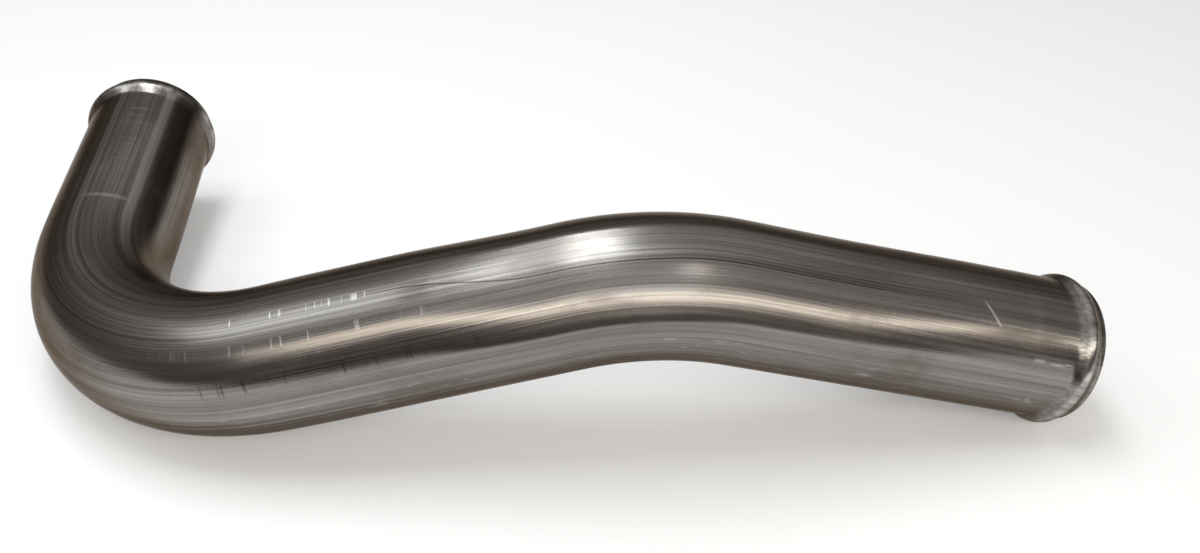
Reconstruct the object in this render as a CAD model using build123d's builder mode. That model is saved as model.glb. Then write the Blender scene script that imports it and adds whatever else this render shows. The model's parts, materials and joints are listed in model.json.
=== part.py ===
from build123d import *

import os
from math import cos, radians, sin, sqrt, tan

# Bent coolant tube with a rolled hose bead near each open end.
# It is drawn in its own frame: the elbow's corner at the origin, the middle
# run along +X, the left leg along +Y and the right leg bent down towards -Z.
# The finished tube is then laid down as it comes to rest, with the bottom
# centre of its box at the origin. All lengths are in millimetres.

# Tube stock
tube_od = 63.5
wall = 1.65

# Route, with each run measured to the corners of the centreline
left_leg = 213.0
middle_run = 270.0
right_leg = 197.0
elbow_angle = 90.0
elbow_radius = 105.0
press_angle = 30.0
press_radius = 135.0

# Hose beads, rolled outwards from inside, so the wall keeps its thickness
bead_height = 2.6
bead_flank = 30.0
bead_crest_radius = 4.0
nose_length = 2.0

# Search for the resting pose
rest_stations = 240
rest_roll_limit = 20.0
rest_steps = 30

tube_radius = tube_od / 2
bore_radius = tube_radius - wall
bead_radius = tube_radius + bead_height
groove_radius = bore_radius + bead_height

# A bead has two straight flanks and a round crest that runs into both.
# The groove inside it has parallel flanks and a narrow floor.
bead_rise = bead_height / tan(radians(bead_flank))
crest_corner = tan(radians(bead_flank / 2))
floor_half = (bead_crest_radius - wall) * crest_corner
groove_half = floor_half + bead_rise
crest_half = bead_crest_radius * sin(radians(bead_flank))
crest_foot = bead_radius - bead_crest_radius * (1 - cos(radians(bead_flank)))
bead_half = bead_crest_radius * crest_corner + bead_rise
bead_centre = nose_length + bead_half
bead_end = nose_length + 2 * bead_half

# Route of the centreline, from the left end to the right end
left_way = Vector(-cos(radians(elbow_angle)), sin(radians(elbow_angle)), 0)
right_way = Vector(cos(radians(press_angle)), 0, -sin(radians(press_angle)))
elbow_corner = Vector(0, 0, 0)
press_corner = Vector(middle_run, 0, 0)
left_end = elbow_corner + left_way * left_leg
right_end = press_corner + right_way * right_leg

with BuildLine() as route:
    FilletPolyline(left_end, elbow_corner, press_corner, right_end, radius=(elbow_radius, press_radius))

# The planes of the two end sections: X along the axis into the tube, Y radial
end_planes = [
    Plane(left_end, x_dir=-left_way, z_dir=(0, 0, 1)),
    Plane(right_end, x_dir=-right_way, z_dir=(0, 1, 0)),
]

with BuildPart() as tube:
    # Bent stock, with a bead rolled up near each end
    with BuildSketch(Plane(left_end, z_dir=-left_way)):
        Circle(tube_radius)
    sweep(path=route.line)
    for plane in end_planes:
        with BuildSketch(plane):
            with BuildLine():
                crest = ThreePointArc(
                    (bead_centre - crest_half, crest_foot),
                    (bead_centre, bead_radius),
                    (bead_centre + crest_half, crest_foot),
                )
                Polyline(
                    crest @ 1,
                    (bead_end, tube_radius),
                    (bead_end, bore_radius),
                    (nose_length, bore_radius),
                    (nose_length, tube_radius),
                    crest @ 0,
                )
            make_face()
        revolve(axis=Axis(plane.origin, plane.x_dir))
    # Bore right through, with the groove that the rolling leaves inside each bead
    with BuildSketch(Plane(left_end, z_dir=-left_way)):
        Circle(bore_radius)
    sweep(path=route.line, mode=Mode.SUBTRACT)
    for plane in end_planes:
        with BuildSketch(plane):
            with BuildLine():
                Polyline(
                    (bead_centre - groove_half, bore_radius - wall),
                    (bead_centre - groove_half, bore_radius),
                    (bead_centre - floor_half, groove_radius),
                    (bead_centre + floor_half, groove_radius),
                    (bead_centre + groove_half, bore_radius),
                    (bead_centre + groove_half, bore_radius - wall),
                    close=True,
                )
            make_face()
        revolve(axis=Axis(plane.origin, plane.x_dir), mode=Mode.SUBTRACT)

# Rings that can touch the ground, as (centre, direction, radius)
rings = [
    (route.line @ (station / rest_stations), route.line % (station / rest_stations), tube_radius)
    for station in range(rest_stations + 1)
]
for end, way in ((left_end, left_way), (right_end, right_way)):
    rings.append((end - way * bead_centre, way, bead_radius))
mass_centre = tube.part.center(CenterOf.MASS)


def centre_height(roll, pitch):
    """Height of the centre of mass above the lowest ring, with the tube rolled about X and then pitched up."""
    level = cos(radians(pitch))
    up = Vector(sin(radians(pitch)), level * sin(radians(roll)), level * cos(radians(roll)))
    lowest = min(at.dot(up) - radius * sqrt(1 - way.dot(up) ** 2) for at, way, radius in rings)
    return mass_centre.dot(up) - lowest


def lowest_at(height, low, high):
    """Where a height with one valley between low and high is lowest."""
    for _ in range(rest_steps):
        third = (high - low) / 3
        if height(low + third) < height(high - third):
            high -= third
        else:
            low += third
    return (low + high) / 2


def rest_pitch(roll):
    """The pitch at which the elbow and the right bead both touch the ground."""
    return lowest_at(lambda pitch: centre_height(roll, pitch), 0, press_angle)


# The tube rolls and tips until its centre of mass is lowest
roll = lowest_at(lambda roll: centre_height(roll, rest_pitch(roll)), -rest_roll_limit, rest_roll_limit)
rest_turn = Rot(0, -rest_pitch(roll), 0) * Rot(roll, 0, 0)
box = (rest_turn * tube.part).bounding_box()
rest_place = Pos(-box.center().X, -box.center().Y, -box.min.Z) * rest_turn
coolant_tube = rest_place * tube.part
coolant_tube.label = "coolant_tube"

os.makedirs("parts", exist_ok=True)
export_step(coolant_tube, "parts/coolant_tube.step")
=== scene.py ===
"""Looks of a bent steel coolant tube: its pressed skin, drawn finish, floor, light and camera.

Lengths are in metres and angles in degrees, unless a name says otherwise. The tube is first made
straight, with a bead rolled up near each end, and is then bent along its route, as the real one is.
"""

import json
import logging
from dataclasses import dataclass, field
from enum import Enum
from math import cos, pi, radians, sin, tan

import bpy
import numpy as np
from mathutils import Matrix, Vector

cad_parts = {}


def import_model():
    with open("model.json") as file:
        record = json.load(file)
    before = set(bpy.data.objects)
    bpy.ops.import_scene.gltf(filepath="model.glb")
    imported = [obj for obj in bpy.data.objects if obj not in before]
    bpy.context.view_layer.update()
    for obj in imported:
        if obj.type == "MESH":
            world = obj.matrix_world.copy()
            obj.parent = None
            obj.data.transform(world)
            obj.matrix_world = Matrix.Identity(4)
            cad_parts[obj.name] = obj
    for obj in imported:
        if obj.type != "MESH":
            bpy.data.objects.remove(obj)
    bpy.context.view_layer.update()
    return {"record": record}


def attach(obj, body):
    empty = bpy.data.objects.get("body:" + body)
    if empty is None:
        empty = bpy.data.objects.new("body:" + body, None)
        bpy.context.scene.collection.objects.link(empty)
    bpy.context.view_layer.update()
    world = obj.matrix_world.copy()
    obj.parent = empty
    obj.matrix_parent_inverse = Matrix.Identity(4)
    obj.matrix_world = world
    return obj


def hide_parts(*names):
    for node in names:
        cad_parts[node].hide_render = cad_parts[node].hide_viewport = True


LOG = logging.getLogger("coolant_tube")
MM = 0.001
PHOTO_WIDTH = 1200
STOCK = "stock"
BORE_MOUNT = "left_bore"
Socket = bpy.types.NodeSocket
Range = tuple[float, float]
Triple = tuple[float, float, float]
Value = Socket | float | tuple


class End(Enum):
    """The two open ends of the tube, by the names of the mounts on them."""

    LEFT = "left_hose_end"
    RIGHT = "right_hose_end"


def smooth_step(value: np.ndarray) -> np.ndarray:
    """Rise smoothly from 0 to 1 as the value goes from 0 to 1."""
    share = np.clip(value, 0, 1)
    return share * share * (3 - 2 * share)


@dataclass(frozen=True)
class Route:
    """Centreline of the tube: three straight runs, joined by the elbow and by the press bend.

    The tube's own frame has the elbow's corner at the origin, the middle run along +X and the left
    leg along +Y, and the right leg bends down towards -Z.
    """

    left_end: Vector
    elbow: Vector
    press: Vector
    right_end: Vector
    elbow_radius: float = 105.0 * MM
    press_radius: float = 135.0 * MM

    @classmethod
    def from_mounts(
        cls, mounts: list[dict], left_leg: float = 213 * MM, right_leg: float = 197 * MM
    ) -> "Route":
        """Place the route by the mounts on the two ends.

        Args:
            mounts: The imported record's mounts.
            left_leg: Length from the left end to the elbow's corner.
            right_leg: Length from the press bend's corner to the right end.

        Returns:
            The route in the row frame.
        """
        ends: dict[End, Vector] = {}
        corners: dict[End, Vector] = {}
        for end, leg in ((End.LEFT, left_leg), (End.RIGHT, right_leg)):
            mount = next(m for m in mounts if m["name"] == end.value)
            way = Vector(mount["axis"])
            ends[end] = Vector(mount["pos_m"]) + way * mount["dims"]["length_mm"] * MM / 2
            corners[end] = ends[end] - way * leg
        return cls(ends[End.LEFT], corners[End.LEFT], corners[End.RIGHT], ends[End.RIGHT])

    def to_row(self) -> Matrix:
        """The matrix that takes the tube's own frame to the row frame."""
        x = (self.press - self.elbow).normalized()
        y = (self.left_end - self.elbow).normalized()
        z = x.cross(y).normalized()
        turn = Matrix((x, z.cross(x), z)).transposed()
        return Matrix.Translation(self.elbow) @ turn.to_4x4()

    def own_points(self) -> list[Vector]:
        """The route's two ends and two corners, in the tube's own frame."""
        to_own = self.to_row().inverted()
        return [to_own @ point for point in (self.left_end, self.elbow, self.press, self.right_end)]

    def stations(self) -> dict[str, float]:
        """Lengths along the centreline, from the left end, at which each bend starts and ends."""
        runs = [self.left_end - self.elbow, self.elbow - self.press, self.press - self.right_end]
        elbow_turn = (-runs[0]).angle(-runs[1])
        press_turn = (-runs[1]).angle(-runs[2])
        elbow_reach = self.elbow_radius * tan(elbow_turn / 2)
        press_reach = self.press_radius * tan(press_turn / 2)
        elbow_start = runs[0].length - elbow_reach
        elbow_end = elbow_start + self.elbow_radius * elbow_turn
        press_start = elbow_end + runs[1].length - elbow_reach - press_reach
        press_end = press_start + self.press_radius * press_turn
        return {
            "elbow_start": elbow_start,
            "elbow_end": elbow_end,
            "press_start": press_start,
            "press_end": press_end,
            "right_end": press_end + runs[2].length - press_reach,
        }


@dataclass(frozen=True)
class Bead:
    """A hose bead rolled up out of the wall: a short nose, two flanks and a round crest."""

    height: float = 2.6 * MM
    flank: float = 30.0
    crest_radius: float = 4.0 * MM
    nose: float = 2.0 * MM
    root_blend: float = 1.1 * MM
    root_steps: int = 4
    rim_break: float = 0.35 * MM
    rim_round: float = 0.3
    lip_share: float = 0.7
    crest_steps: int = 14
    flank_steps: int = 5

    def half_width(self) -> float:
        """Half the bead's width, measured where its flanks meet the tube."""
        lean = radians(self.flank)
        return self.crest_radius * tan(lean / 2) + self.height / tan(lean)

    def centre(self) -> float:
        """Distance of the crest from the end of the tube."""
        return self.nose + self.half_width()

    def rim(self) -> list[tuple[float, float]]:
        """The broken edge of the rim, as (distance from the end, distance from the skin)."""
        middle = self.rim_break * self.rim_round
        return [(0.0, self.rim_break), (middle, middle), (self.rim_break, 0.0)]

    def outside(self) -> list[tuple[float, float]]:
        """The bead's outer outline, as (distance from the end, rise over the tube)."""
        lean = radians(self.flank)
        centre = self.centre()
        foot_drop = self.crest_radius * (1 - cos(lean))
        foot = (centre - self.crest_radius * sin(lean), self.height - foot_drop)
        blend = self.root_blend
        rise = [(x, -y) for x, y in self.rim()]
        for share in np.linspace(0, 1, self.root_steps + 1):
            start, end = -blend * (1 - share) ** 2, blend * share**2
            rise.append((self.nose + start + end * cos(lean), end * sin(lean)))
        root = rise[-1]
        for share in np.linspace(0, 1, self.flank_steps + 1)[1:-1]:
            along = root[0] + (foot[0] - root[0]) * share
            rise.append((along, root[1] + (foot[1] - root[1]) * share))
        for turn in np.linspace(-lean, 0, self.crest_steps // 2 + 1)[:-1]:
            drop = self.crest_radius * (1 - cos(turn))
            rise.append((centre + self.crest_radius * sin(turn), self.height - drop))
        back = [(2 * centre - x, y) for x, y in reversed(rise) if x > self.rim_break]
        return [*rise, (centre, self.height), *back]

    def inside(self, wall: float) -> list[tuple[float, float]]:
        """The groove inside the bead, as (distance from the end, rise over the bore).

        Args:
            wall: The tube's wall thickness.

        Returns:
            The outline from the rim to behind the bead.
        """
        lean = radians(self.flank)
        floor = (self.crest_radius - wall) * tan(lean / 2)
        edge = floor + self.height / tan(lean)
        steps = np.linspace(0, 1, self.flank_steps + 1)
        rise = [*self.rim(), (self.nose * self.lip_share, 0.0)]
        rise += [(self.centre() - edge + (edge - floor) * s, self.height * s) for s in steps]
        back = [(2 * self.centre() - x, y) for x, y in reversed(rise) if x > self.nose]
        return [*rise, *back]


@dataclass(frozen=True)
class PressForm:
    """What the press left on its bend: a channel down each side, between the dies' outer edges.

    Stations are measured from the middle of the bend, and angles round the tube from its top to
    its front.
    """

    kink: float = 12 * MM
    left_edge: float = -102 * MM
    right_edge: float = 163 * MM
    left_ramp: float = 62 * MM
    right_ramp: float = 100 * MM
    depth: float = 2.5 * MM
    angle: float = 30.0
    upper_spread: float = 55.0
    lower_spread: float = 46.0
    corner_rise: float = 1.1 * MM
    corner_angle: float = 75.0
    corner_spread: float = 10.0
    rear_share: float = 0.6
    gap_relief: float = 0.5
    gap_half: float = 12 * MM
    gap_round: float = 1.5 * MM
    gap_power: float = 1.5
    gap_angle: float = 24.0
    gap_spread: float = 13.0
    step: float = 0.25 * MM
    step_width: float = 2.5 * MM
    step_onset: float = 4.0

    def rise(self, along: np.ndarray, angle: np.ndarray) -> np.ndarray:
        """How far the skin stands off the round tube.

        Args:
            along: Stations from the middle of the press bend.
            angle: Angles round the tube, from -180 to 180.

        Returns:
            The rise at each point, below zero where the skin is pressed in.
        """
        side = np.abs(angle)
        into = smooth_step((along - self.left_edge) / self.left_ramp)
        out_of = smooth_step((self.right_edge - along) / self.right_ramp)
        off_kink = np.sqrt((along - self.kink) ** 2 + self.gap_round**2) - self.gap_round
        relief = np.exp(-(((angle - self.gap_angle) / self.gap_spread) ** 2))
        gap = 1 - self.gap_relief * relief * np.exp(-((off_kink / self.gap_half) ** self.gap_power))
        spread = np.where(side < self.angle, self.upper_spread, self.lower_spread)
        dip = (1 + np.cos(pi * np.clip((side - self.angle) / spread, -1, 1))) / 2
        corner = np.exp(-(((side - self.corner_angle) / self.corner_spread) ** 2))
        ledge = smooth_step((self.right_edge - along) / self.step_width)
        ledge = ledge * np.clip(into * self.step_onset, 0, 1)
        flank = into * out_of * (self.corner_rise * corner - self.depth * gap * dip)
        pressed = flank - self.step * ledge * dip
        return pressed * np.where(angle < 0, self.rear_share, 1.0)


@dataclass(frozen=True)
class ElbowForm:
    """The slight flattening of the elbow on its outer and inner sides."""

    flat: float = 1.0 * MM
    run_out: float = 25 * MM

    def rise(self, station: np.ndarray, angle: np.ndarray, start: float, end: float) -> np.ndarray:
        """How far the skin stands off the round tube round the elbow.

        Args:
            station: Stations from the left end.
            angle: Angles round the tube.
            start: Station at which the elbow starts.
            end: Station at which it ends.

        Returns:
            The rise at each point.
        """
        into = smooth_step((station - start + self.run_out) / (2 * self.run_out))
        out_of = smooth_step((end + self.run_out - station) / (2 * self.run_out))
        return -self.flat * np.sin(np.radians(angle)) ** 2 * np.minimum(into, out_of)


@dataclass
class BentTube:
    """The tube itself: straight beaded stock, pressed and bent along the route."""

    route: Route
    radius: float
    bore: float
    bead: Bead = field(default_factory=Bead)
    press: PressForm = field(default_factory=PressForm)
    elbow: ElbowForm = field(default_factory=ElbowForm)
    around: int = 176
    outer_step: float = 2.0 * MM
    inner_step: float = 6.0 * MM
    arc_steps: int = 120

    def section(self) -> tuple[np.ndarray, np.ndarray]:
        """Half the straight tube's long section, as a closed loop round the wall.

        Returns:
            Stations and radii, along the outside to the right end and back through the bore.
        """
        length = self.route.stations()["right_end"]
        loops: list[list[tuple[float, float]]] = []
        for outline, level, step in (
            (self.bead.outside(), self.radius, self.outer_step),
            (self.bead.inside(self.radius - self.bore), self.bore, self.inner_step),
        ):
            first = outline[-1][0]
            count = int((length - 2 * first) / step)
            plain = [(s, 0.0) for s in np.linspace(first, length - first, count + 1)[1:-1]]
            far = [(length - s, rise) for s, rise in reversed(outline)]
            loops.append([(s, level + rise) for s, rise in (*outline, *plain, *far)])
        loop = np.array([*loops[0], *reversed(loops[1])])
        return loop[:, 0], loop[:, 1]

    def straight_stock(self) -> bpy.types.Mesh:
        """The straight tube with its beads and press marks.

        Returns:
            A mesh along +X, with its top at +Z and its front at -Y.
        """
        station, radius = self.section()
        turn = np.linspace(-180, 180, self.around, endpoint=False)
        stations = np.repeat(station, self.around)
        angles = np.tile(turn, len(station))
        marks = self.route.stations()
        middle = (marks["press_start"] + marks["press_end"]) / 2
        rise = self.press.rise(stations - middle, angles)
        rise += self.elbow.rise(stations, angles, marks["elbow_start"], marks["elbow_end"])
        radii = np.repeat(radius, self.around)
        spin = np.radians(angles)
        pressed = radii + rise
        places = np.stack([stations, -pressed * np.sin(spin), pressed * np.cos(spin)], axis=1)
        plain = np.stack([stations, -radii * np.sin(spin), radii * np.cos(spin)], axis=1)
        rows, columns = np.meshgrid(np.arange(len(station)), np.arange(self.around), indexing="ij")
        next_row = (rows + 1) % len(station)
        next_column = (columns + 1) % self.around
        corners = (
            (rows, columns),
            (rows, next_column),
            (next_row, next_column),
            (next_row, columns),
        )
        faces = np.stack([row * self.around + column for row, column in corners], axis=-1)
        faces = faces.reshape(-1, len(corners))
        mesh = bpy.data.meshes.new("straight_stock")
        mesh.from_pydata(places.tolist(), [], faces.tolist())
        skin = mesh.attributes.new(STOCK, "FLOAT_VECTOR", "POINT")
        skin.data.foreach_set("vector", plain.astype(np.float32).ravel())
        mesh.polygons.foreach_set("use_smooth", np.ones(len(faces), bool))
        mesh.update()
        return mesh

    def route_curve(self) -> bpy.types.Object:
        """The route's corners as a curve in the tube's own frame, with each bend's radius on it."""
        curve = bpy.data.curves.new("tube_route", "CURVE")
        curve.dimensions = "3D"
        spline = curve.splines.new("POLY")
        points = self.route.own_points()
        spline.points.add(len(points) - 1)
        bends = (0.0, self.route.elbow_radius, self.route.press_radius, 0.0)
        for target, place, bend in zip(spline.points, points, bends):
            target.co = (*place, 1.0)
            target.radius = bend
        path = bpy.data.objects.new("tube_route", curve)
        bpy.context.scene.collection.objects.link(path)
        return path

    def build(self, finish: bpy.types.Material) -> bpy.types.Object:
        """Bend the stock along the route with Geometry Nodes and set it in its place.

        Args:
            finish: The material of the skin.

        Returns:
            The finished piece, at the origin with its place in its mesh.
        """
        stock = bpy.data.objects.new("straight_stock", self.straight_stock())
        bpy.context.scene.collection.objects.link(stock)
        path = self.route_curve()
        modifier = stock.modifiers.new("bend", "NODES")
        modifier.node_group = bending_tree()
        settings = {"Route": path, "Arc Steps": self.arc_steps, "Finish": finish}
        for item in modifier.node_group.interface.items_tree:
            if item.name in settings:
                modifier[item.identifier] = settings[item.name]
        bpy.context.view_layer.update()
        shaped = stock.evaluated_get(bpy.context.evaluated_depsgraph_get())
        mesh = bpy.data.meshes.new_from_object(shaped)
        mesh.transform(self.route.to_row())
        mesh.name = "bent_tube"
        stock.modifiers.clear()
        for spare in (stock, path):
            bpy.data.objects.remove(spare)
        tube = bpy.data.objects.new("bent_tube", mesh)
        bpy.context.scene.collection.objects.link(tube)
        return tube


def bending_tree() -> bpy.types.GeometryNodeTree:
    """A tree that bends a straight mesh along X round a route with rounded corners."""
    tree = bpy.data.node_groups.new("bend_to_route", "GeometryNodeTree")
    for name, kind in (
        ("Geometry", "NodeSocketGeometry"),
        ("Route", "NodeSocketObject"),
        ("Arc Steps", "NodeSocketInt"),
        ("Finish", "NodeSocketMaterial"),
    ):
        tree.interface.new_socket(name, in_out="INPUT", socket_type=kind)
    tree.interface.new_socket("Geometry", in_out="OUTPUT", socket_type="NodeSocketGeometry")

    def node(kind: str, **settings: object) -> bpy.types.Node:
        """Add a node and set its options."""
        made = tree.nodes.new(kind)
        for key, value in settings.items():
            setattr(made, key, value)
        return made

    given = node("NodeGroupInput")
    route = node("GeometryNodeObjectInfo", transform_space="ORIGINAL")
    bends = node("GeometryNodeInputRadius")
    rounded = node("GeometryNodeFilletCurve", mode="POLY")
    sample = node("GeometryNodeSampleCurve", mode="LENGTH", use_all_curves=True)
    place = node("GeometryNodeInputPosition")
    parts = node("ShaderNodeSeparateXYZ")
    upward = node("ShaderNodeVectorMath", operation="CROSS_PRODUCT")
    sideways = node("ShaderNodeVectorMath", operation="SCALE")
    rise = node("ShaderNodeVectorMath", operation="SCALE")
    flip = node("ShaderNodeMath", operation="MULTIPLY")
    across = node("ShaderNodeVectorMath", operation="ADD")
    target = node("ShaderNodeVectorMath", operation="ADD")
    move = node("GeometryNodeSetPosition")
    real = node("GeometryNodeRealizeInstances")
    dress = node("GeometryNodeSetMaterial")
    result = node("NodeGroupOutput")
    flip.inputs[1].default_value = -1.0
    for start, end in (
        (given.outputs["Route"], route.inputs["Object"]),
        (route.outputs["Geometry"], rounded.inputs["Curve"]),
        (given.outputs["Arc Steps"], rounded.inputs["Count"]),
        (bends.outputs["Radius"], rounded.inputs["Radius"]),
        (rounded.outputs["Curve"], sample.inputs["Curves"]),
        (place.outputs["Position"], parts.inputs["Vector"]),
        (parts.outputs["X"], sample.inputs["Length"]),
        (parts.outputs["Y"], flip.inputs[0]),
        (sample.outputs["Normal"], sideways.inputs[0]),
        (flip.outputs["Value"], sideways.inputs["Scale"]),
        (sample.outputs["Normal"], upward.inputs[0]),
        (sample.outputs["Tangent"], upward.inputs[1]),
        (upward.outputs["Vector"], rise.inputs[0]),
        (parts.outputs["Z"], rise.inputs["Scale"]),
        (sideways.outputs["Vector"], across.inputs[0]),
        (rise.outputs["Vector"], across.inputs[1]),
        (sample.outputs["Position"], target.inputs[0]),
        (across.outputs["Vector"], target.inputs[1]),
        (given.outputs["Geometry"], move.inputs["Geometry"]),
        (target.outputs["Vector"], move.inputs["Position"]),
        (move.outputs["Geometry"], real.inputs["Geometry"]),
        (real.outputs["Geometry"], dress.inputs["Geometry"]),
        (given.outputs["Finish"], dress.inputs["Material"]),
        (dress.outputs["Geometry"], result.inputs["Geometry"]),
    ):
        tree.links.new(start, end)
    return tree


class Paint:
    """A material's node tree, with short calls for the arithmetic of its masks."""

    def __init__(self, name: str) -> None:
        """Start a material with a plain shader."""
        self.material = bpy.data.materials.new(name)
        self.material.use_nodes = True
        self.tree = self.material.node_tree
        self.shader = self.tree.nodes["Principled BSDF"]

    def feed(self, socket: Socket, value: Value) -> None:
        """Set a socket to a constant, or link it to a value."""
        if isinstance(value, bpy.types.NodeSocket):
            self.tree.links.new(value, socket)
        else:
            socket.default_value = value

    def math(self, operation: str, *values: Value) -> Socket:
        """Join values with a math operation."""
        made = self.tree.nodes.new("ShaderNodeMath")
        made.operation = operation
        for socket, value in zip(made.inputs, values):
            self.feed(socket, value)
        return made.outputs["Value"]

    def product(self, *values: Value) -> Socket:
        """Multiply any number of values."""
        result = values[0]
        for value in values[1:]:
            result = self.math("MULTIPLY", result, value)
        return result

    def total(self, *values: Value) -> Socket:
        """Add any number of values."""
        result = values[0]
        for value in values[1:]:
            result = self.math("ADD", result, value)
        return result

    def most(self, *values: Value) -> Socket:
        """The largest of any number of values."""
        result = values[0]
        for value in values[1:]:
            result = self.math("MAXIMUM", result, value)
        return result

    def noise(
        self, place: Socket, scale: Triple, detail: float = 4.0, roughness: float = 0.6
    ) -> Socket:
        """Add noise that is stretched by a scale per axis.

        Args:
            place: The coordinates to read.
            scale: Cells per metre along the tube and across it.
            detail: Octaves of the noise.
            roughness: Weight of the finer octaves.

        Returns:
            The noise's value, about 0.5 on average.
        """
        stretch = self.tree.nodes.new("ShaderNodeVectorMath")
        stretch.operation = "MULTIPLY"
        stretch.inputs[1].default_value = scale
        grain = self.tree.nodes.new("ShaderNodeTexNoise")
        grain.inputs["Scale"].default_value = 1.0
        grain.inputs["Detail"].default_value = detail
        grain.inputs["Roughness"].default_value = roughness
        self.tree.links.new(place, stretch.inputs[0])
        self.tree.links.new(stretch.outputs["Vector"], grain.inputs["Vector"])
        return grain.outputs["Fac"]

    def span(self, value: Socket, low: float, high: float) -> Socket:
        """A smooth step from 0 at low to 1 at high."""
        step = self.tree.nodes.new("ShaderNodeMapRange")
        step.interpolation_type = "SMOOTHSTEP"
        step.inputs["From Min"].default_value = low
        step.inputs["From Max"].default_value = high
        self.tree.links.new(value, step.inputs["Value"])
        return step.outputs["Result"]

    def fall(self, value: Socket, low: float, high: float) -> Socket:
        """A smooth step from 1 at low to 0 at high."""
        return self.math("SUBTRACT", 1.0, self.span(value, low, high))

    def band(self, value: Socket, middle: Value, half: float, soft: float) -> Socket:
        """1 within half of the middle, falling smoothly to 0 over a soft edge."""
        away = self.math("ABSOLUTE", self.math("SUBTRACT", value, middle))
        return self.fall(away, half, half + soft)

    def mix(self, share: Value, first: Value, second: Value) -> Socket:
        """Blend two colours."""
        made = self.tree.nodes.new("ShaderNodeMix")
        made.data_type = "RGBA"
        self.feed(made.inputs["Factor"], share)
        for name, value in (("A", first), ("B", second)):
            socket = next(s for s in made.inputs if s.name == name and s.type == "RGBA")
            self.feed(socket, value if isinstance(value, bpy.types.NodeSocket) else (*value, 1.0))
        return next(s for s in made.outputs if s.type == "RGBA")


@dataclass(frozen=True)
class Mark:
    """A nick or scratch in the skin, as a small box of stations and angles."""

    station: float
    angle: float
    half_length: float
    half_angle: float
    shade: float
    lean: float = 0.0
    length_core: float = 0.5
    angle_core: float = 0.6


@dataclass(frozen=True)
class Zone:
    """A soft-edged patch of the skin, round an angle and a station."""

    angle: float
    half_angle: float
    soft_angle: float
    station: float
    half_length: float
    soft_length: float
    share: float = 1.0


@dataclass(frozen=True)
class Stripe:
    """A soft-edged painted reflection along the left leg, which fades out towards the elbow."""

    angle: float
    half_angle: float
    soft_angle: float
    fade: Range
    share: float


@dataclass(frozen=True)
class Skin:
    """What the finish's masks read: the paint, the straight stock's coordinates and the noises."""

    paint: Paint
    place: Socket
    station: Socket
    angle: Socket
    fine: Socket
    lines: Socket
    streak: Socket
    cloud: Socket

    def patch(self, zone: Zone) -> Socket:
        """The mask of a zone."""
        across = self.paint.band(self.angle, zone.angle, zone.half_angle, zone.soft_angle)
        along = self.paint.band(self.station, zone.station, zone.half_length, zone.soft_length)
        return self.paint.product(across, along, zone.share)

    def stripe(self, stripe: Stripe) -> Socket:
        """The mask of a stripe."""
        across = self.paint.band(self.angle, stripe.angle, stripe.half_angle, stripe.soft_angle)
        return self.paint.product(across, self.paint.fall(self.station, *stripe.fade), stripe.share)


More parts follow.
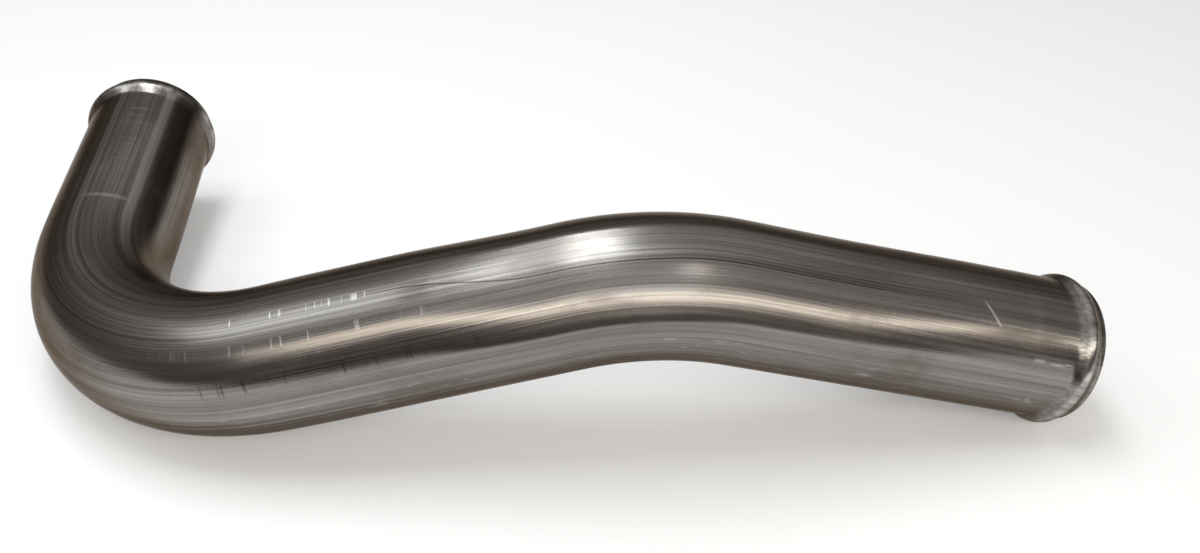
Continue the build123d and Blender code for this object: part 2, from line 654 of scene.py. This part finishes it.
@dataclass(frozen=True)
class DrawnSteel:
    """Satin drawn steel, with draw lines along the tube, brown stains, die lines and scuffs, and
    with painted reflections of light and dark.

    Grains are noise cells per metre, along the tube and across it. Cuts are the ranges of noise
    over which a mask comes in, and shares are how strong a mask gets. The angles of the die lines
    are measured down from the first of them.
    """

    name: str = "drawn_steel"
    pale: Triple = (0.315, 0.298, 0.281)
    deep: Triple = (0.135, 0.124, 0.115)
    # This brown is both the dirt's colour and the colour of a painted dark reflection.
    stain_and_dark_reflection: Triple = (0.11, 0.088, 0.072)
    # This dark colour is for the die lines and scores, and for a painted dark reflection band.
    dark_mark_and_reflection: Triple = (0.03, 0.026, 0.023)
    bright: Triple = (0.62, 0.6, 0.58)
    edge_tint: Triple = (0.42, 0.37, 0.33)
    fine_grain: Triple = (6.0, 1300.0, 1300.0)
    line_grain: Triple = (1.2, 420.0, 420.0)
    streak_grain: Triple = (5.0, 150.0, 150.0)
    cloud_grain: Triple = (16.0, 36.0, 36.0)
    dark_tick_grain: Triple = (560.0, 14.0, 14.0)
    bright_tick_grain: Triple = (640.0, 12.0, 12.0)
    scuff_grain: Triple = (90.0, 260.0, 260.0)
    tone_weights: Triple = (0.45, 0.35, 0.2)
    tone_cut: Range = (0.34, 0.66)
    dirt_cut: Range = (0.5, 0.75)
    dirt_share: float = 0.5
    rough_base: float = 0.1
    rough_weights: Triple = (0.12, 0.16, 0.2)
    bump_strength: float = 0.3
    bump_depth: float = 0.2 * MM
    light_dent: float = -0.3
    # Where the painted brown dark reflection lies: on the left leg, and by angle on the inner side.
    brown_leg: Range = (100 * MM, 260 * MM)
    brown_leg_share: float = 0.6
    brown_inner: Range = (-70.0, 25.0)
    brown_inner_share: float = 0.5
    brown_cut: Range = (0.3, 0.6)
    # Pale stripes painted as reflections of lamps on the left leg.
    reflection_stripes: tuple[Stripe, ...] = (
        Stripe(-3.0, 1.0, 5.0, (100 * MM, 240 * MM), 0.3),
        Stripe(-47.0, 2.0, 5.0, (100 * MM, 240 * MM), 0.4),
    )
    reflection_stripe_cut: Range = (0.25, 0.6)
    # A black band painted as a dark reflection on the left leg.
    dark_reflection_band: Stripe = Stripe(-64.0, 6.0, 9.0, (90 * MM, 160 * MM), 0.7)
    dark_reflection_cut: Range = (0.2, 0.5)
    length: float = 633.27 * MM
    bead_centre: float = 7.58 * MM
    # Bright crests: wear, and a painted highlight.
    crest_half: float = 1.5 * MM
    crest_soft: float = 2.0 * MM
    crest_cut: Range = (0.3, 0.7)
    crest_share: float = 0.7
    die_line_angle: float = 27.0
    die_line_drop: float = 12.0
    die_line_climb: Range = (335 * MM, 395 * MM)
    die_lines_below: tuple[Zone, ...] = (
        Zone(0.0, 0.2, 0.6, 430 * MM, 90 * MM, 40 * MM, 0.8),
        Zone(2.2, 0.4, 1.1, 515 * MM, 35 * MM, 30 * MM, 0.45),
        Zone(5.2, 0.4, 1.1, 515 * MM, 35 * MM, 30 * MM, 0.4),
    )
    dark_tick_cut: Range = (0.6, 0.68)
    dark_ticks_at: Zone = Zone(64.0, 3.0, 4.0, 305 * MM, 45 * MM, 30 * MM, 0.5)
    bright_tick_cut: Range = (0.62, 0.7)
    bright_ticks_at: tuple[Zone, ...] = (
        Zone(14.0, 1.5, 2.5, 296 * MM, 25 * MM, 15 * MM, 0.55),
        Zone(36.0, 2.0, 3.0, 300 * MM, 45 * MM, 30 * MM, 0.55),
        Zone(-24.0, 5.0, 7.0, 55 * MM, 25 * MM, 20 * MM, 0.2475),
    )
    scuff_cut: Range = (0.6, 0.72)
    scuff_angles: Range = (78.0, 95.0)
    scuff_share: float = 0.28
    marks: tuple[Mark, ...] = (
        Mark(104.0 * MM, -24.0, 1.2 * MM, 16.0, 0.3),
        Mark(577.0 * MM, 31.0, 0.6 * MM, 7.0, 1.0, 0.4 * MM),
        Mark(602.0 * MM, 61.0, 2.4 * MM, 1.2, 0.65),
        Mark(611.0 * MM, 62.0, 3.2 * MM, 0.7, 0.55),
        Mark(616.5 * MM, 60.5, 1.4 * MM, 0.7, 0.5),
        Mark(625.5 * MM, 66.0, 1.4 * MM, 2.4, 1.0),
    )

    def material(self) -> bpy.types.Material:
        """Build the finish as a node material that reads the straight stock's own coordinates."""
        skin = self.skin()
        paint = skin.paint
        grains = (skin.fine, skin.lines, skin.streak)
        tone = paint.total(*map(paint.product, grains, self.tone_weights))
        dirt = paint.product(paint.span(skin.cloud, *self.dirt_cut), self.dirt_share)
        dark = paint.most(self.die_lines(skin), self.dark_ticks(skin), self.painted_dark_reflection(skin))
        light = paint.most(self.bright_ticks(skin), self.nicks(skin))
        colour = paint.mix(paint.span(tone, *self.tone_cut), self.deep, self.pale)
        # Of these mixes, the brown side, the pale stripes and the black band are painted
        # reflections, and the bead crests are wear and a painted highlight.
        for share, tint in (
            (dirt, self.stain_and_dark_reflection),
            (self.painted_brown_reflection(skin), self.stain_and_dark_reflection),
            (self.stripes(skin), self.bright),
            (self.worn_and_highlit_beads(skin), self.bright),
            (dark, self.dark_mark_and_reflection),
            (self.scuffs(skin), self.bright),
            (light, self.bright),
        ):
            colour = paint.mix(share, colour, tint)
        paint.feed(paint.shader.inputs["Base Color"], colour)
        paint.feed(paint.shader.inputs["Metallic"], 1.0)
        paint.feed(paint.shader.inputs["Specular Tint"], (*self.edge_tint, 1.0))
        dulled = map(paint.product, (skin.fine, skin.cloud, dirt), self.rough_weights)
        rough = paint.total(*dulled, self.rough_base)
        paint.feed(paint.shader.inputs["Roughness"], rough)
        bump = paint.tree.nodes.new("ShaderNodeBump")
        bump.inputs["Strength"].default_value = self.bump_strength
        bump.inputs["Distance"].default_value = self.bump_depth
        dented = paint.total(tone, paint.product(light, self.light_dent))
        paint.feed(bump.inputs["Height"], dented)
        paint.feed(paint.shader.inputs["Normal"], bump.outputs["Normal"])
        return paint.material

    def skin(self) -> Skin:
        """Start the material, with the stock's coordinates and the noises that the masks share."""
        paint = Paint(self.name)
        stock = paint.tree.nodes.new("ShaderNodeAttribute")
        stock.attribute_name = STOCK
        place = stock.outputs["Vector"]
        parts = paint.tree.nodes.new("ShaderNodeSeparateXYZ")
        paint.tree.links.new(place, parts.inputs["Vector"])
        front = paint.product(parts.outputs["Y"], -1.0)
        angle = paint.product(paint.math("ARCTAN2", front, parts.outputs["Z"]), 180 / pi)
        return Skin(
            paint=paint,
            place=place,
            station=parts.outputs["X"],
            angle=angle,
            fine=paint.noise(place, self.fine_grain),
            lines=paint.noise(place, self.line_grain, detail=3.0),
            streak=paint.noise(place, self.streak_grain, detail=5.0),
            cloud=paint.noise(place, self.cloud_grain, detail=6.0),
        )

    def painted_brown_reflection(self, skin: Skin) -> Socket:
        """Brown painted dark reflection in cloudy patches: the left leg, and the inner side all
        along.
        """
        paint = skin.paint
        left = paint.product(paint.fall(skin.station, *self.brown_leg), self.brown_leg_share)
        inner = paint.product(paint.fall(skin.angle, *self.brown_inner), self.brown_inner_share)
        return paint.product(paint.most(left, inner), paint.span(skin.cloud, *self.brown_cut))

    def stripes(self, skin: Skin) -> Socket:
        """Two pale painted reflections of lamps along the left leg, which run on into the elbow."""
        both = skin.paint.most(*[skin.stripe(stripe) for stripe in self.reflection_stripes])
        return skin.paint.product(both, skin.paint.span(skin.lines, *self.reflection_stripe_cut))

    def painted_dark_reflection(self, skin: Skin) -> Socket:
        """A black band beside the inner stripe of the left leg: a painted dark reflection."""
        patches = skin.paint.span(skin.cloud, *self.dark_reflection_cut)
        return skin.paint.product(skin.stripe(self.dark_reflection_band), patches)

    def worn_and_highlit_beads(self, skin: Skin) -> Socket:
        """Crests of the two beads, painted bright: wear, and a painted highlight."""
        paint = skin.paint
        crests = [
            paint.band(skin.station, middle, self.crest_half, self.crest_soft)
            for middle in (self.bead_centre, self.length - self.bead_centre)
        ]
        worn = paint.span(skin.streak, *self.crest_cut)
        return paint.product(paint.most(*crests), worn, self.crest_share)

    def die_lines(self, skin: Skin) -> Socket:
        """Thin dark lines that the dies drew along the top of the press bend."""
        paint = skin.paint
        climb = paint.product(paint.span(skin.station, *self.die_line_climb), self.die_line_drop)
        level = paint.total(self.die_line_angle, climb, -self.die_line_drop)
        found: list[Socket] = []
        for zone in self.die_lines_below:
            middle = paint.math("SUBTRACT", level, zone.angle)
            across = paint.band(skin.angle, middle, zone.half_angle, zone.soft_angle)
            along = paint.band(skin.station, zone.station, zone.half_length, zone.soft_length)
            found.append(paint.product(across, along, zone.share))
        return paint.most(*found)

    def dark_ticks(self, skin: Skin) -> Socket:
        """Short dark scores across the tube, below the middle run's highlight."""
        grain = skin.paint.noise(skin.place, self.dark_tick_grain, detail=1.0)
        score = skin.paint.span(grain, *self.dark_tick_cut)
        return skin.paint.product(score, skin.patch(self.dark_ticks_at))

    def bright_ticks(self, skin: Skin) -> Socket:
        """Short bright scores along the middle run's top and between the left leg's stripes."""
        grain = skin.paint.noise(skin.place, self.bright_tick_grain, detail=1.0)
        score = skin.paint.span(grain, *self.bright_tick_cut)
        zones = [skin.patch(zone) for zone in self.bright_ticks_at]
        return skin.paint.product(score, skin.paint.most(*zones))

    def scuffs(self, skin: Skin) -> Socket:
        """Faint pale scuffs on the lower half of the front."""
        grain = skin.paint.noise(skin.place, self.scuff_grain, detail=3.0)
        spot = skin.paint.span(grain, *self.scuff_cut)
        low = skin.paint.span(skin.angle, *self.scuff_angles)
        return skin.paint.product(spot, low, self.scuff_share)

    def nicks(self, skin: Skin) -> Socket:
        """The clamp's mark on the left leg, and the nicks and scratches near the right end."""
        paint = skin.paint
        found: list[Socket] = []
        for mark in self.marks:
            skew = paint.product(paint.math("SUBTRACT", skin.angle, mark.angle), mark.lean)
            station = paint.math("SUBTRACT", skin.station, skew)
            core = (mark.half_length * mark.length_core, mark.half_angle * mark.angle_core)
            along = paint.band(station, mark.station, core[0], mark.half_length)
            across = paint.band(skin.angle, mark.angle, core[1], mark.half_angle)
            found.append(paint.product(along, across, mark.shade))
        return paint.most(*found)


@dataclass(frozen=True)
class Lamp:
    """A soft box that looks at the tube."""

    name: str
    place: Triple
    size: tuple[float, float]
    radiance: float
    colour: Triple
    aim: Triple

    def build(self) -> bpy.types.Object:
        """Hang the soft box and turn it to its aim."""
        light = bpy.data.lights.new(self.name, "AREA")
        light.shape = "RECTANGLE"
        light.size, light.size_y = self.size
        light.energy = self.radiance * self.size[0] * self.size[1] * pi
        light.color = self.colour
        lamp = bpy.data.objects.new(self.name, light)
        lamp.location = self.place
        way = Vector(self.aim) - Vector(self.place)
        lamp.rotation_euler = way.to_track_quat("-Z", "Y").to_euler()
        bpy.context.scene.collection.objects.link(lamp)
        return lamp


@dataclass(frozen=True)
class Studio:
    """A pale floor, soft boxes and a dim room round the tube."""

    floor_size: float = 8.0
    floor_colour: Triple = (0.8, 0.8, 0.8)
    floor_lift: float = 0.2
    floor_gloss: float = 0.1
    matt: float = 0.9
    room_low: Triple = (0.17, 0.155, 0.14)
    room_high: Triple = (0.6, 0.6, 0.6)
    room_stops: Range = (0.3, 0.9)
    card_place: Triple = (-0.35, -0.46, 0.04)
    card_size: tuple[float, float] = (1.1, 0.09)
    card_colour: Triple = (0.03, 0.026, 0.023)
    lamps: tuple[Lamp, ...] = (
        Lamp(
            name="front_strip",
            place=(0.58, -0.95, 0.77),
            size=(2.76, 0.2),
            radiance=4.5,
            colour=(1.0, 0.91, 0.8),
            aim=(0.58, -0.09, 0.05),
        ),
        Lamp(
            name="cool_strip",
            place=(0.1, -0.95, 1.0),
            size=(0.9, 0.16),
            radiance=1.5,
            colour=(0.88, 0.96, 1.0),
            aim=(0.1, -0.09, 0.05),
        ),
        Lamp(
            name="key_box",
            place=(-0.2, 0.06, 1.2),
            size=(0.34, 0.85),
            radiance=7.0,
            colour=(0.93, 0.98, 1.0),
            aim=(-0.2, 0.05, 0.0),
        ),
        Lamp(
            name="left_box",
            place=(-0.98, -0.05, 1.2),
            size=(0.7, 0.6),
            radiance=1.9,
            colour=(0.92, 0.97, 1.0),
            aim=(-0.6, -0.06, 0.0),
        ),
    )

    def build(self) -> None:
        """Lay the floor, hang the lamps and set the room's tone."""
        self.floor()
        self.card()
        for lamp in self.lamps:
            lamp.build()
        self.room()

    def sheet(self, name: str, size: tuple[float, float], paint: Paint) -> bpy.types.Object:
        """A flat painted rectangle in the XY plane."""
        mesh = bpy.data.meshes.new(name)
        x, y = size[0] / 2, size[1] / 2
        mesh.from_pydata([(-x, -y, 0), (x, -y, 0), (x, y, 0), (-x, y, 0)], [], [(0, 1, 2, 3)])
        mesh.materials.append(paint.material)
        made = bpy.data.objects.new(name, mesh)
        bpy.context.scene.collection.objects.link(made)
        return made

    def floor(self) -> None:
        """A matt pale floor, white to the eye and in reflections, which keeps the tube's shadow."""
        paint = Paint("floor_paint")
        paint.feed(paint.shader.inputs["Base Color"], (*self.floor_colour, 1.0))
        paint.feed(paint.shader.inputs["Roughness"], self.matt)
        paint.feed(paint.shader.inputs["Specular IOR Level"], self.floor_gloss)
        paint.feed(paint.shader.inputs["Emission Color"], (1.0, 1.0, 1.0, 1.0))
        path = paint.tree.nodes.new("ShaderNodeLightPath")
        kinds = ("Camera", "Glossy", "Transmission")
        seen = paint.most(*[path.outputs[f"Is {kind} Ray"] for kind in kinds])
        paint.feed(paint.shader.inputs["Emission Strength"], paint.product(seen, self.floor_lift))
        self.sheet("floor", (self.floor_size, self.floor_size), paint)

    def card(self) -> None:
        """A low dark card in front, seen only in the steel, as the dark side of a room is."""
        paint = Paint("card_paint")
        paint.feed(paint.shader.inputs["Base Color"], (*self.card_colour, 1.0))
        paint.feed(paint.shader.inputs["Roughness"], self.matt)
        card = self.sheet("dark_card", self.card_size, paint)
        card.data.transform(Matrix.Translation(self.card_place) @ Matrix.Rotation(pi / 2, 4, "X"))
        card.visible_camera = False
        card.visible_diffuse = False
        card.visible_shadow = False

    def room(self) -> None:
        """A dim room: dark at the horizon and paler overhead."""
        world = bpy.data.worlds.new("room")
        world.use_nodes = True
        tree = world.node_tree
        where = tree.nodes.new("ShaderNodeTexCoord")
        parts = tree.nodes.new("ShaderNodeSeparateXYZ")
        tone = tree.nodes.new("ShaderNodeValToRGB")
        colours = (self.room_low, self.room_high)
        for element, at, colour in zip(tone.color_ramp.elements, self.room_stops, colours):
            element.position = at
            element.color = (*colour, 1.0)
        tree.links.new(where.outputs["Generated"], parts.inputs["Vector"])
        tree.links.new(parts.outputs["Z"], tone.inputs["Fac"])
        tree.links.new(tone.outputs["Color"], tree.nodes["Background"].inputs["Color"])
        bpy.context.scene.world = world


@dataclass(frozen=True)
class Viewpoint:
    """The photograph's camera, fitted to the tube's outline."""

    place: Triple = (0.00898, -0.47049, 0.34812)
    elevation: float = 34.685
    azimuth: float = -3.159
    roll: float = 0.9
    focal_pixels: float = 1116.0
    sensor: float = 36.0
    near: float = 0.01

    def build(self) -> None:
        """Set up the camera."""
        data = bpy.data.cameras.new("photo_view")
        data.sensor_width = self.sensor
        data.lens = self.focal_pixels / PHOTO_WIDTH * self.sensor
        data.clip_start = self.near
        camera = bpy.data.objects.new("photo_view", data)
        turn = Matrix.Rotation(radians(self.azimuth), 4, "Z")
        tip = Matrix.Rotation(radians(90 - self.elevation), 4, "X")
        lean = Matrix.Rotation(radians(self.roll), 4, "Z")
        camera.matrix_world = Matrix.Translation(self.place) @ turn @ tip @ lean
        bpy.context.scene.collection.objects.link(camera)
        bpy.context.scene.camera = camera


def mount_radius(mounts: list[dict], name: str) -> float:
    """The radius in metres of a mount, by its name."""
    return next(m for m in mounts if m["name"] == name)["dims"]["r_mm"] * MM


def main() -> None:
    """Build the tube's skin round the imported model, dress it and set the scene."""
    logging.basicConfig(level=logging.INFO, format="%(name)s: %(message)s")
    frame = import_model()
    bpy.context.scene.view_settings.view_transform = "Standard"
    mounts = frame["record"]["mounts"]
    route = Route.from_mounts(mounts)
    tube = BentTube(route, mount_radius(mounts, End.LEFT.value), mount_radius(mounts, BORE_MOUNT))
    skin = tube.build(DrawnSteel().material())
    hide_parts("coolant_tube")
    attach(skin, "root")
    LOG.info("%s: %d faces", skin.name, len(skin.data.polygons))
    Studio().build()
    Viewpoint().build()


if __name__ == "__main__":
    main()
